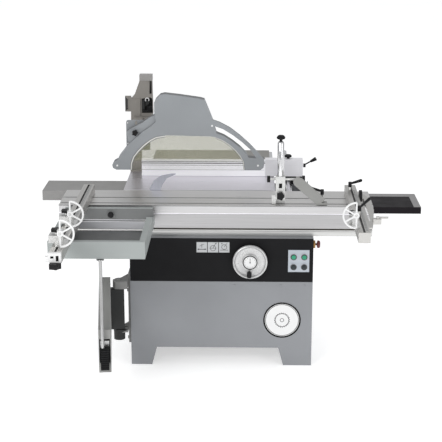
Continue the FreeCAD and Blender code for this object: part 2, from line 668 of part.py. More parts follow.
# Hold-down clamp ----------------------------------------------------------------------------------
def make_hold_down():
    """Post clamp in the carriage's front slot, braced by a diagonal strap with its own lever."""
    x, y, radius = size.hold_x, size.hold_y, size.hold_radius
    block = box("clamp_block", x - 26, y - 22, 880, 48, 44, 117)
    heel = box("clamp_heel", x - 26, y + 12, 852, 48, 10, 30)
    foot = box("clamp_foot", x - 46, y - 12, 852, 22, 34, 46)
    stud = rod("clamp_stud", x - 36, y + 1, 838, "Z", 5, 18)
    toe = rod("clamp_toe", x - 36, y + 1, 836.5, "Z", 9, 4)
    left_rod = rod("clamp_left_rod", x - 66, y, 980, "X", 6, 42)
    left_grip = rod("clamp_left_grip", x - 70, y, 980, "X", 17, 16)
    right_rod = rod("clamp_right_rod", x + 20, y, 980, "X", 6, 90)
    right_grip = rod("clamp_right_grip", x + 108, y, 980, "X", 19, 14)
    bore = rod("clamp_bore", x - 2, y, 870, "Z", radius + RUNNING_GAP, 140)
    body = join("clamp_blank", [block, heel, foot, stud, toe, left_rod, left_grip, right_rod, right_grip])
    node("clamp_body", cut("clamp", body, [bore]))

    run, rise = 122.0, 110.0
    slope = math.degrees(math.atan2(-rise, run))
    strap = box("strap", 0, -4, -26, math.hypot(run, rise), 8, 52)
    tilt = Rotation(Vector(0, 1, 0), -slope)
    corner = Placement(Vector(0, -4, -26), Rotation())
    strap.Placement = Placement(Vector(x + 86, y - 24, 974), tilt) * corner
    floor_trim = box("strap_trim", x, y - 50, 800, 300, 60, 52)
    strap_cut = cut("strap_cut", strap, [floor_trim])
    boss = rod("strap_boss", x + 86, y - 28, 972, "Y", 24, 8)
    lug = box("strap_lug", x + 78, y - 28, 968, 16, 40, 24)
    foot_plate = box("strap_foot", x + 190, y - 28, 852, 46, 44, 10)
    post = rod("strap_post", x + 211, y + 1, 838, "Z", 5, 62)
    nut = rod("strap_nut", x + 211, y + 1, 836.5, "Z", 9, 4)
    collar = rod("strap_collar", x + 211, y + 1, 861, "Z", 11, 20)
    rod_hole = rod("strap_hole", x + 60, y, 980, "X", 6, 50)
    strap_whole = cut("strap_bored", join("strap_blank", [strap_cut, boss, lug, foot_plate, post, nut,
                                                          collar]), [rod_hole])
    node("hold_down_brace", strap_whole)
    node("brace_lever", clamp_lever("brace_lever", x + 211, y + 1, 900.6, 60, 12, 163))

    tube = turned("clamp_tube_shape", [(0, 905), (radius - 2, 905), (radius, 908), (radius, 1168),
                                       (12, 1176), (7, 1178), (7, 1184), (21, 1190), (22, 1198), (14, 1207),
                                       (0, 1208)], "Z", x - 2, y, 0)
    node("clamp_tube", tube)
    node("clamp_star_knob", star_grip("clamp_star", "-Y", x - 2, y - 22.6, 900, 21, 26))


# Rip fence ----------------------------------------------------------------------------------------
def make_rip_fence():
    """Carrier on the round bar, and the fence profile whose tongue slides through the carrier."""
    front, top = size.rip_front, size.rip_top
    left, split, right = size.rip_left, size.rip_split, size.rip_right
    block = box("carrier_block", "rip_split", "rip_front", 852, "rip_right - rip_split", 65,
                "rip_top - 852")
    saddle = box("carrier_saddle", 318, front + 19, 803, 84, 90, 52)
    bridge = box("carrier_bridge", 318, front + 60, 852, 84, 49, 40)
    bore = rod("carrier_bore", "rail_x", "rip_front + 10", "rail_z", "Y", "rail_radius + 0.1", 110)
    throat = box("carrier_throat", size.rail_x - 19, front + 10, 790, 38, 110, 36)
    tongue_way = box("carrier_tongue_way", split - 1, front + 4.7, 863.7, right - split + 2, 10.6, 68.6)
    grip_stem = rod("carrier_grip_stem", 400, front + 60, 832, "X", 6, 20)
    grip = rod("carrier_grip", 415, front + 60, 832, "X", 19, 18)
    lever_boss = rod("lever_boss", right - 1, front + 42, 905, "X", 10, 5)
    carrier = join("carrier_blank", [block, saddle, bridge, grip_stem, grip, lever_boss])
    node("rip_fence_carrier", cut("carrier", carrier, [bore, throat, tongue_way]))

    bar = box("rip_bar", "rip_left", "rip_front", 852, "rip_split - rip_left - 0.4", 18, "rip_top - 852")
    tongue = box("rip_tongue", split - 20, front + 5, 864, right - split + 15, 10, 68)
    grooves = []
    for i, z in enumerate((875, 918)):
        grooves.append(box(f"rip_mouth_{i}", left - 1, front + 12, z, split - left, 8, 8))
    grooves.append(box("rip_face_slot", left - 1, front - 1, 922, split - left + 1, 3, 4))
    grooves.append(box("rip_face_line", left - 1, front - 1, 932, split - left + 1, 2, 2))
    node("rip_fence_profile", cut("rip_profile", join("rip_profile_blank", [bar, tongue]), grooves))

    hub = rod("rip_lever_hub", right + 4.6, front + 42, 905, "X", 11, 12)
    stalk = doc.addObject("Part::Cylinder", "rip_lever_stalk")
    stalk.Radius = 4
    stalk.Height = 46
    along = Vector(0.86, -0.1, 0.5)
    start = Vector(right + 8, front + 42, 908)
    stalk.Placement = Placement(start, Rotation(Vector(0, 0, 1), along))
    tip = start + along * 42
    grip = doc.addObject("Part::Cone", "rip_lever_grip")
    grip.Radius1 = 7
    grip.Radius2 = 11
    grip.Height = 34
    grip.Placement = Placement(tip, Rotation(Vector(0, 0, 1), along))
    node("rip_fence_lever", join("rip_lever", [hub, stalk, grip]))
    dome = turned("rip_knob_shape", [(0, 0.6), (8, 0.6), (8, 6), (19, 9), (20, 17), (13, 23), (0, 24)], "Z",
                  354, front + 42, top)
    node("rip_fence_knob", dome)


# Saw unit under the table -------------------------------------------------------------------------
def toothed_disc(name, x, z, radius, half, bore, teeth, depth):
    """A circular blade in the plane Y = 0, one tooth drawn and repeated around the bore."""
    body = doc.addObject("PartDesign::Body", name)
    origin = [plane for plane in body.Origin.OriginFeatures if plane.Role == "XZ_Plane"][0]
    disc = body.newObject("Sketcher::SketchObject", f"{name}_disc")
    disc.AttachmentSupport = [(origin, "")]
    disc.MapMode = "FlatFace"
    for circle_radius in (radius - depth, bore):
        disc.addGeometry(Part.Circle(Vector(0, 0, 0), Vector(0, 0, 1), circle_radius), False)
    plate = body.newObject("PartDesign::Pad", f"{name}_plate")
    plate.Profile = disc
    plate.Length = 2 * half
    plate.Reversed = True
    pitch = 2 * math.pi / teeth
    inner = radius - depth - 2
    corners = [(inner, 0), (radius, 0.02), (radius - 0.5, 0.3 * pitch), (inner, 0.75 * pitch)]
    tooth = body.newObject("Sketcher::SketchObject", f"{name}_tooth")
    tooth.AttachmentSupport = [(origin, "")]
    tooth.MapMode = "FlatFace"
    draw(tooth, [(r * math.sin(a), r * math.cos(a)) for r, a in corners])
    tip = body.newObject("PartDesign::Pad", f"{name}_tip")
    tip.Profile = tooth
    tip.Length = 2 * half
    tip.Reversed = True
    ring = body.newObject("PartDesign::PolarPattern", f"{name}_ring")
    ring.Originals = [tip]
    ring.Axis = (disc, ["N_Axis"])
    ring.Angle = 360
    ring.Occurrences = teeth
    body.Tip = ring
    place(body, x, -half, z)
    return body


def pulley(name, x, y, z):
    """A flat-belt pulley between two flanges, its axis along Y."""
    return turned(name, [(0, 0), (37, 0), (37, 2), (32, 3), (32, 25), (37, 26), (37, 28), (0, 28)], "Y",
                  x, y, z)


def make_saw_unit():
    """Tilting frame on two trunnion pins, and the lift carriage with motor, arbor, blade and knife."""
    ax, az = size.arbor_x, size.arbor_z
    mx, mz = size.motor_x, size.motor_z
    outline = [(-397, 560), (209, 560), (209, 800), (68, 800), (68, 762), (28, 762), (28, 800), (-146, 800),
               (-146, 654), (-214, 654), (-214, 800), (-310, 800), (-310, 625), (-397, 625)]
    plate = prism("tilt_plate", "XZ", outline, 24, 8)
    pieces = [plate]
    cheek = [(24, 560), (50, 560), (125, 740), (125, 780), (90, 780), (24, 640)]
    for i, (x, pin_x) in enumerate(((-406, -427), (200, 200))):
        pieces.append(prism(f"tilt_cheek_{i}", "YZ", cheek, x, 9))
        reach = math.radians(50)
        y, z = 140 * math.sin(reach), size.table_height - 140 * math.cos(reach)
        pieces.append(rod(f"tilt_pin_{i}", pin_x, y, z, "X", 8, 30))
    rails = [box(f"lift_rail_{i}", x, 31, 560, 12, 4.6, 236) for i, x in enumerate((-300, -120))]
    node("tilt_frame", join("tilting_frame", pieces + rails))

    back_plate = prism("lift_plate", "XZ", [(-392, 480), (14, 480), (14, 720), (-392, 720)], 36, 12,
                       [(mx, mz, 20)])
    housing = rod("arbor_housing", "arbor_x", 13, "arbor_z", "Y", 28, 79)
    holder = box("knife_holder", -392, 1.65, 640, 50, 46, 60)
    knife_stud = rod("knife_stud", -360, -3, 664, "Y", 3.6, 8)
    knife_head = rod("knife_head", -360, -10, 664, "Y", 9, 8)
    posts = [rod(f"motor_post_{i}", mx + dx, 47, mz + dz, "Y", 8, 80)
             for i, (dx, dz) in enumerate(((62, 62), (62, -62), (-62, -62)))]
    motor_plate = prism("motor_plate", "XZ", [(-140, 472), (14, 472), (14, 628), (-60, 628), (-140, 560)],
                        124, 6, [(mx, mz, 20)])
    shroud_outer = box("shroud_outer", -344, -18, 508, 328, 40, 132)
    shroud_inner = box("shroud_inner", -342, -16, 510, 324, 36, 131)
    shroud = cut("shroud", shroud_outer, [shroud_inner])
    tab = box("shroud_tab", -348, 6, 610, 8, 14, 50)
    bore = rod("arbor_bore", "arbor_x", 10, "arbor_z", "Y", 12.55, 90)
    blank = join("lift_blank", [back_plate, housing, holder, knife_stud, knife_head, motor_plate, shroud,
                                tab] + posts)
    node("arbor_carriage", cut("lift_carriage", blank, [bore]))

    motor_profile = [(0, 0), (60, 0), (60, 4)]
    for i in range(9):
        y = 8 + i * 20
        motor_profile += [(size.motor_radius, y), (size.motor_radius, y + 12), (69, y + 14), (69, y + 18)]
    motor_profile += [(72, 190), (72, 200), (0, 200)]
    drum = turned("motor_drum", motor_profile, "Y", mx, 130, mz)
    terminal = box("terminal_box", mx - 35, 170, mz - 100, 70, 90, 34)
    node("main_motor", join("motor", [drum, terminal]))

    spindle = turned("spindle", [(0, -14), (14, -14), (14, -9), (35, -9), (35, -1.6), (15, -1.6), (15, 1.6),
                                 (35, 1.6), (35, 12), (12.5, 12), (12.5, 94), (37, 94), (37, 96), (32, 97),
                                 (32, 119), (37, 120), (37, 122), (0, 122)], "Y", "arbor_x", 0, "arbor_z")
    node("saw_arbor", spindle)
    node("saw_blade", toothed_disc("blade", ax, az, size.blade_radius, size.blade_half, size.bore_radius,
                                   48, 6.5))
    sheave = pulley("motor_sheave", mx, 94, mz)
    shaft = rod("motor_shaft", mx, 100, mz, "Y", 12, 29.6)
    node("motor_pulley", join("motor_pulley_whole", [sheave, shaft]))

    span = Vector(ax - mx, az - mz, 0)
    along = span / span.Length
    across = Vector(along.y, -along.x, 0)
    loops = []
    for tag, radius, start, wide in (("outer", 36.4, 98, 20), ("inner", 32.3, 97, 22)):
        low, high = Vector(mx, mz, 0), Vector(ax, az, 0)
        corners = [low + across * radius, high + across * radius, high + along * radius,
                   high - across * radius, low - across * radius, low - along * radius]
        flat = [(corner.x, corner.y) for corner in corners]
        loops.append(prism(f"belt_{tag}", "XZ", [flat[0], flat[1], ("arc", flat[2], flat[3]), flat[4],
                                                 ("arc", flat[5], flat[0])], start, wide))
    node("drive_belt", cut("belt", loops[0], [loops[1]]))

    knife = [(-380, 655), (-346, 655), (-346, 690), (-342, 712), (-334, 850), (-322, 884), (-300, 915),
             (-250, 938), (-252, 941), (-276, 941), (-330, 930), (-370, 900), (-390, 860), (-394, 830),
             (-380, 720)]
    blade_guide = prism("knife_plate", "XZ", knife, -1.25, 2.5)
    slot = box("knife_slot", -364, -2, 660, 8, 4, 44)
    node("riving_knife", cut("knife", blade_guide, [slot]))


def make_scoring_unit():
    sx, sz = size.scoring_x, size.scoring_z
    mx, mz = 130, 600
    sleeve = rod("scoring_sleeve", sx, 9, sz, "Y", 15, 28)
    span = Vector(sx - mx, sz - mz, 0)
    along = span / span.Length
    across = Vector(along.y, -along.x, 0)
    low, high = Vector(mx, mz, 0), Vector(sx, sz, 0)
    corners = [low + across * 28, high + across * 15, high + along * 15, high - across * 15,
               low - across * 28, low - along * 28]
    flat = [(corner.x, corner.y) for corner in corners]
    cover = prism("scoring_cover", "XZ", [flat[0], flat[1], ("arc", flat[2], flat[3]), flat[4],
                                          ("arc", flat[5], flat[0])], 32.6, 24)
    drum = rod("scoring_drum", mx, 56, mz, "Y", 50, 140)
    cap = rod("scoring_cap", mx, 196, mz, "Y", 46, 12)
    bore = rod("scoring_bore", "scoring_x", 5, "scoring_z", "Y", 8.05, 30)
    node("scoring_unit", cut("scoring_body", join("scoring_blank", [sleeve, cover, drum, cap]), [bore]))
    disc = toothed_disc("scoring_disc", sx, sz, size.scoring_radius, 1.5, 10, 24, 4)
    hub = turned("scoring_hub", [(0, -8), (9, -8), (9, -5), (15, -5), (15, -1.5), (10, -1.5), (10, 1.5),
                                 (15, 1.5), (15, 4.6), (8, 4.6), (8, 34), (0, 34)], "Y", "scoring_x", 0,
                 "scoring_z")
    node("scoring_blade", join("scoring_rotor", [disc, hub]))


def make_wheels():
    """Tilt handwheel with its gravity dial on the front, lift handwheel on the infeed side."""
    rim = size.wheel_radius
    disc = turned("tilt_disc", [(0, 1), (24, 1), (24, 14), (rim - 10, 22), (rim, 28), (rim, 40),
                                (rim - 7, 44), (rim - 14, 34), (42, 30), (40, 44), (0, 44)], "-Y",
                  "wheel_x", "base_front - panel_skin", "wheel_z")
    shaft = rod("tilt_shaft", "wheel_x", "base_front - panel_skin - 4", "wheel_z", "Y", 9, 60)
    dial = turned("tilt_dial", [(0, 43), (37, 43), (37, 48), (33, 48), (33, 46), (0, 46)], "-Y", "wheel_x",
                  "base_front - panel_skin", "wheel_z")
    crank = rod("tilt_crank", size.wheel_x - 4, size.base_front - 36, size.wheel_z - 60, "-Y", 12, 48)
    arm = box("tilt_crank_arm", size.wheel_x - 14, size.base_front - 46, size.wheel_z - 84, 20, 10, 34)
    node("tilt_handwheel", join("tilt_wheel", [disc, shaft, dial, crank, arm]))

    y, z = size.lift_wheel_y, size.lift_wheel_z
    side = turned("lift_disc", [(0, 1), (16, 1), (16, 6), (58, 8), (60, 10), (60, 17), (54, 18), (18, 12),
                                (18, 18), (0, 18)], "X", "base_right", "lift_wheel_y", "lift_wheel_z")
    axle = rod("lift_axle", 250, "lift_wheel_y", "lift_wheel_z", "X", 9, 220)
    node("lift_handwheel", join("lift_wheel", [side, axle, rod("lift_crank", 480, y + 40, z, "X", 9, 6)]))


# Overhead guard -----------------------------------------------------------------------------------
def make_column():
    side, left, front, top = size.column_side, size.column_left, size.column_front, size.column_top
    outer = box("column_outer", "column_left", "column_front", "table_height", "column_side", "column_side",
                "column_top - table_height")
    core = box("column_core", left + 4, front + 4, 849, side - 8, side - 8, top - 848)
    foot = box("column_foot", left - 7, front - 16, "table_height", side + 13, side + 16, 10)
    ear = box("column_ear", left - 33, front + 18, 1187, 34, 12, 88)
    screws = [rod(f"ear_screw_{i}", left - 22, front + 18, z, "-Y", 5, 4)
              for i, z in enumerate((1205, 1255))]
    node("guard_column", join("column", [cut("column_tube", outer, [core]), foot, ear] + screws))

    head = prism("boom_head", "XZ", [(-474, 1365), (-405, 1365), (-402, 1177), (-470, 1177), (-470.5, 1262),
                                     (-523, 1262), (-504, 1284)], front + 4, 46)
    cap = box("boom_cap", -475, front, 1364, 71, side, 32)
    slit = box("boom_slit", -420, front + 3, 1290, 11, 6, 74)
    tube = tube_box("boom_tube", left + 20, 41, 1105, 50, front - 41, 60, 4, "Y")
    shelf = box("boom_shelf", -470.5, front - 40, 1140, 60, 90, 25)
    web = box("boom_web", -470.5, front + 4, 1160, 66, 46, 20)
    mount = prism("boom_mount", "XZ", [(-514, 1060), (-389, 1060), (-389, 1221), (-502, 1221),
                                       ("arc", (-510.5, 1217.5), (-514, 1209))], 36, 6)
    slot = box("boom_slot", -467, 35, 1118, 12, 8, 98)
    nut_pocket = box("boom_nut_pocket", -476, 42, 1108, 30, 12, 112)
    crank = rod("boom_crank", -418, front + 5, 1211, "-Y", 14, 26)
    body = join("boom_blank", [head, cap, tube, shelf, web, mount, crank])
    node("guard_boom", cut("boom", body, [slit, slot, nut_pocket]))


def shifted(outline, offsets):
    """Moves each edge of an anticlockwise outline inwards by its own distance."""
    count = len(outline)
    lines = []
    for i, offset in enumerate(offsets):
        here, there = Vector(*outline[i], 0), Vector(*outline[(i + 1) % count], 0)
        along = (there - here) / (there - here).Length
        inward = Vector(-along.y, along.x, 0)
        lines.append((here + inward * offset, along))
    corners = []
    for i in range(count):
        (p, u), (q, v) = lines[i - 1], lines[i]
        turn = u.x * v.y - u.y * v.x
        step = ((q.x - p.x) * v.y - (q.y - p.y) * v.x) / turn
        corner = p + u * step
        corners.append((corner.x, corner.y))
    return corners


def make_guard():
    """Bridge-shaped hood with clear shields, clamped by a knob to the slotted plate on the boom."""
    half = size.guard_half
    arch = [(-492, 967), (-490, 1002), (-476, 1040), (-453, 1070), (-420, 1104), (-386, 1130), (-352, 1147),
            (-304, 1154), (-142, 1150), (-66, 1149), (-36, 1143), (-1, 1130), (36, 1106), (67, 1077),
            (94, 1044), (110, 1012), (115, 967)]
    right = [(194, 967), (212, 981), (217, 1005), (214, 1029), (132, 1035), (119, 1058), (88, 1090),
             (46, 1123), (4, 1150), (-36, 1166)]
    hood = [(-58, 1240), (-99, 1342), (-122, 1348), (-227, 1363), (-306, 1372), (-328, 1367), (-353, 1342),
            (-360, 1326), (-360, 1272), (-352, 1226)]
    left = [(-376, 1203), (-424, 1171), (-477, 1122), (-512, 1085), (-549, 1038), (-557, 1020),
            (-577, 1009), (-586, 993), (-581, 976), (-564, 967)]
    outline = arch + right + hood + left
    wall = 2.5
    closed = [wall] * len(outline)
    for i in range(len(arch) - 1):
        closed[i] = -wall
    shell = prism("hood_outer", "XZ", outline, -half, 2 * half)
    cavity = prism("hood_inner", "XZ", shifted(outline, closed), wall - half, 2 * (half - wall))
    handle = prism("hood_handle", "XZ", [(-62, 1240), (-16, 1224), (36, 1196), (88, 1156), (141, 1108),
                                         (188, 1058), (212, 1027), (178, 1027), (141, 1080), (99, 1118),
                                         (51, 1155), (-1, 1187), (-52, 1206)], -half, 14)
    stud_hole = rod("hood_stud_hole", -461, -half - 1, 1168, "Y", 5.1, half + 34)
    band = prism("hood_band", "XZ", [(-500, 1120), (-506, 1170), (-488, 1184), (-424, 1217), (-387, 1244),
                                     (-360, 1258), (-330, 1205), (-380, 1182), (-448, 1134), (-482, 1105)],
                 -18, 50)
    spout_out = rod("hood_spout_out", -200, half - 1, 1300, "Y", 30, 42)
    spout_in = rod("hood_spout_in", -200, half - 4, 1300, "Y", 28, 50)
    screws = [rod(f"hood_screw_{i}", x, -half + 0.5, z, "-Y", 5, 3)
              for i, (x, z) in enumerate(((-559, 990), (-58, 1205), (183, 993)))]
    body = join("hood_blank", [cut("hood_shell", shell, [cavity]), handle, band, spout_out] + screws)
    node("guard_hood", cut("hood", body, [stud_hole, spout_in]))

    window = [(-491, 955), (113, 955), (113, 971), (119, 979), (117, 1013), (100, 1050), (73, 1084),
              (41, 1113), (3, 1138), (-33, 1152), (-66, 1160), (-142, 1164), (-304, 1168), (-360, 1160),
              (-392, 1144), (-424, 1117), (-462, 1073), (-484, 1030), (-499, 990), (-491, 972)]
    sheets = [prism(f"shield_{i}", "XZ", window, y, 4)
              for i, y in enumerate((wall - half, half - wall - 4))]
    node("guard_shield", group("shields", sheets))

    stud = rod("guard_stud", -461, -half - 1, 1168, "Y", 5, half + 50)
    nut = rod("guard_nut", -461, 43, 1168, "Y", 10, 6)
    grip = star_grip("guard_grip", "-Y", -461, -half - 0.6, 1168, 16, 22)
    node("guard_knob", join("guard_knob_whole", [stud, nut, grip]))


make_base()
make_panel()
make_tables()
make_rail()
make_carriage()
make_outrigger()
make_swing_arm()
make_crosscut_fence()
make_short_fence()
make_hold_down()
make_rip_fence()
make_saw_unit()
make_scoring_unit()
make_wheels()
make_column()
make_guard()

# Checks and export --------------------------------------------------------------------------------
doc.recompute()
faulty = [thing.Name for thing in doc.Objects if {"Invalid", "Error"} & set(thing.State)]
if faulty:
    raise RuntimeError(f"objects in error: {faulty}")
for piece in NODES:
    if piece.Shape.isNull() or not piece.Shape.isValid() or not piece.Shape.Solids:
        raise RuntimeError(f"{piece.Label} is not a valid shape")

os.makedirs("parts", exist_ok=True)
for piece in NODES:
    piece.Shape.exportStep(f"parts/{piece.Label}.step")
print(f"{len(NODES)} pieces written")
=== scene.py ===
import math

import bmesh
import bpy
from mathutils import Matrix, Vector


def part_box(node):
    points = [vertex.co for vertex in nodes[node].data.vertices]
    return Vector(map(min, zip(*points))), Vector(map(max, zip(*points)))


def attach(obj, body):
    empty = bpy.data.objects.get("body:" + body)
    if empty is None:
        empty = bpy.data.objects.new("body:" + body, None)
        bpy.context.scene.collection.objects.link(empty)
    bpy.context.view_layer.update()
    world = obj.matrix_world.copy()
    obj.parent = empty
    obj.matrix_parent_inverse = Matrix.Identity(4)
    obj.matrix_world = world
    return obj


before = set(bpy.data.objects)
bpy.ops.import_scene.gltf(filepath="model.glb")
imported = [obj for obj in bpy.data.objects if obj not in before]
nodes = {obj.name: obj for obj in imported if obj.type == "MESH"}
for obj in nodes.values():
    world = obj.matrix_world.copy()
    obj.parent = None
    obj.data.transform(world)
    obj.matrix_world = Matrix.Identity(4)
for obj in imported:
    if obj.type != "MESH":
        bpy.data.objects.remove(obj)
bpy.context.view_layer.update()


# Materials ----------------------------------------------------------------------------------------
def new_material(name, colour, roughness, metallic):
    """A principled material and its node tree, with the plain values on the shader's own sockets."""
    made = bpy.data.materials.new(name)
    made.use_nodes = True
    shader = made.node_tree.nodes["Principled BSDF"]
    shader.inputs["Base Color"].default_value = (*colour, 1)
    shader.inputs["Roughness"].default_value = roughness
    shader.inputs["Metallic"].default_value = metallic
    return made, made.node_tree, shader


def noise(tree, scale, stretch=(1, 1, 1), detail=4.0):
    """Noise in the object's own metres, stretched along an axis by a small factor there."""
    place = tree.nodes.new("ShaderNodeTexCoord")
    mapping = tree.nodes.new("ShaderNodeMapping")
    mapping.inputs["Scale"].default_value = stretch
    texture = tree.nodes.new("ShaderNodeTexNoise")
    texture.inputs["Scale"].default_value = scale
    texture.inputs["Detail"].default_value = detail
    tree.links.new(place.outputs["Object"], mapping.inputs["Vector"])
    tree.links.new(mapping.outputs["Vector"], texture.inputs["Vector"])
    return texture.outputs["Fac"]


def spread(tree, value, low, high):
    """A noise value mapped to a range."""
    mapped = tree.nodes.new("ShaderNodeMapRange")
    mapped.inputs["From Min"].default_value = 0.3
    mapped.inputs["From Max"].default_value = 0.7
    mapped.inputs["To Min"].default_value = low
    mapped.inputs["To Max"].default_value = high
    tree.links.new(value, mapped.inputs["Value"])
    return mapped.outputs["Result"]


def two_tone(tree, value, dark, light):
    """A colour ramp between two shades, driven by a noise value."""
    ramp = tree.nodes.new("ShaderNodeValToRGB")
    ramp.color_ramp.elements[0].position = 0.32
    ramp.color_ramp.elements[1].position = 0.68
    ramp.color_ramp.elements[0].color = (*dark, 1)
    ramp.color_ramp.elements[1].color = (*light, 1)
    tree.links.new(value, ramp.inputs["Fac"])
    return ramp.outputs["Color"]


def relief(tree, shader, value, strength, distance):
    """A bump on the shader's normal, driven by a noise value."""
    bump = tree.nodes.new("ShaderNodeBump")
    bump.inputs["Strength"].default_value = strength
    bump.inputs["Distance"].default_value = distance
    tree.links.new(value, bump.inputs["Height"])
    tree.links.new(bump.outputs["Normal"], shader.inputs["Normal"])


def shade(colour, factor):
    """A colour made darker or lighter."""
    return tuple(min(1.0, part * factor) for part in colour)


def paint(name, colour, roughness=0.42, texture=900, depth=0.00012, mottle=0.05, shine=0.4):
    """Powder coat: a fine orange peel, slow changes of tone, and roughness that varies a little."""
    made, tree, shader = new_material(name, colour, roughness, 0.0)
    shader.inputs["Specular IOR Level"].default_value = shine
    cloud = noise(tree, 3.0, detail=6.0)
    tone = two_tone(tree, cloud, shade(colour, 1 - mottle), shade(colour, 1 + mottle))
    tree.links.new(tone, shader.inputs["Base Color"])
    tree.links.new(spread(tree, noise(tree, 14.0), roughness - 0.05, roughness + 0.07),
                   shader.inputs["Roughness"])
    relief(tree, shader, noise(tree, texture, detail=2.0), 0.35, depth)
    return made


def metal(name, colour, roughness, stretch, scale=420, depth=0.00006, contrast=0.07, metallic=1.0):
    """Drawn, ground or brushed metal: lines along one axis in colour, roughness and relief."""
    made, tree, shader = new_material(name, colour, roughness, metallic)
    lines = noise(tree, scale, stretch, detail=5.0)
    tone = two_tone(tree, lines, shade(colour, 1 - contrast), shade(colour, 1 + contrast))
    tree.links.new(tone, shader.inputs["Base Color"])
    tree.links.new(spread(tree, noise(tree, scale * 0.5, stretch), roughness * 0.75, roughness * 1.3),
                   shader.inputs["Roughness"])
    relief(tree, shader, lines, 0.5, depth)
    return made


def moulding(name, colour, roughness=0.38, coat=0.0, shine=0.5):
    """Moulded plastic with a fine spark-eroded grain."""
    made, tree, shader = new_material(name, colour, roughness, 0.0)
    shader.inputs["Coat Weight"].default_value = coat
    shader.inputs["Specular IOR Level"].default_value = shine
    grain = noise(tree, 1400, detail=2.0)
    tone = two_tone(tree, noise(tree, 40), shade(colour, 0.85), shade(colour, 1.15))
    tree.links.new(tone, shader.inputs["Base Color"])
    tree.links.new(spread(tree, grain, roughness - 0.06, roughness + 0.08), shader.inputs["Roughness"])
    relief(tree, shader, grain, 0.3, 0.0001)
    return made


def bright(made, strength):
    """Paints in light: a faint glow that makes a pale anodised face brighter than the lamps alone light
    it.
    """
    shader = made.node_tree.nodes["Principled BSDF"]
    shader.inputs["Emission Color"].default_value = (0.97, 0.96, 1.0, 1)
    shader.inputs["Emission Strength"].default_value = strength
    return made


def casting(name, colour, roughness=0.55, metallic=0.6):
    """Sand-cast metal: pitted, with darker hollows."""
    made, tree, shader = new_material(name, colour, roughness, metallic)
    pits = noise(tree, 260, detail=8.0)
    tone = two_tone(tree, pits, shade(colour, 0.8), shade(colour, 1.15))
    tree.links.new(tone, shader.inputs["Base Color"])
    tree.links.new(spread(tree, noise(tree, 60), roughness - 0.1, roughness + 0.1),
                   shader.inputs["Roughness"])
    relief(tree, shader, pits, 0.4, 0.0003)
    return made


def clear_sheet(name):
    """Polycarbonate guard sheet: tinted, glossy, clouded with dust above its clean lower edge."""
    tint = (0.38, 0.375, 0.26)
    made, tree, shader = new_material(name, tint, 0.08, 0.0)
    shader.inputs["IOR"].default_value = 1.58
    place = tree.nodes.new("ShaderNodeTexCoord")
    split = tree.nodes.new("ShaderNodeSeparateXYZ")
    fade = tree.nodes.new("ShaderNodeMapRange")
    for socket, value in (("From Min", 1.012), ("From Max", 1.02), ("To Min", 0.03), ("To Max", 0.25)):
        fade.inputs[socket].default_value = value
    tree.links.new(place.outputs["Object"], split.inputs["Vector"])
    tree.links.new(split.outputs["Z"], fade.inputs["Value"])
    tree.links.new(fade.outputs["Result"], shader.inputs["Alpha"])
    haze = noise(tree, 9.0, detail=6.0)
    tone = two_tone(tree, haze, shade(tint, 0.94), shade(tint, 1.06))
    tree.links.new(tone, shader.inputs["Base Color"])
    tree.links.new(spread(tree, haze, 0.05, 0.14), shader.inputs["Roughness"])
    relief(tree, shader, noise(tree, 3.0), 0.05, 0.001)
    return made


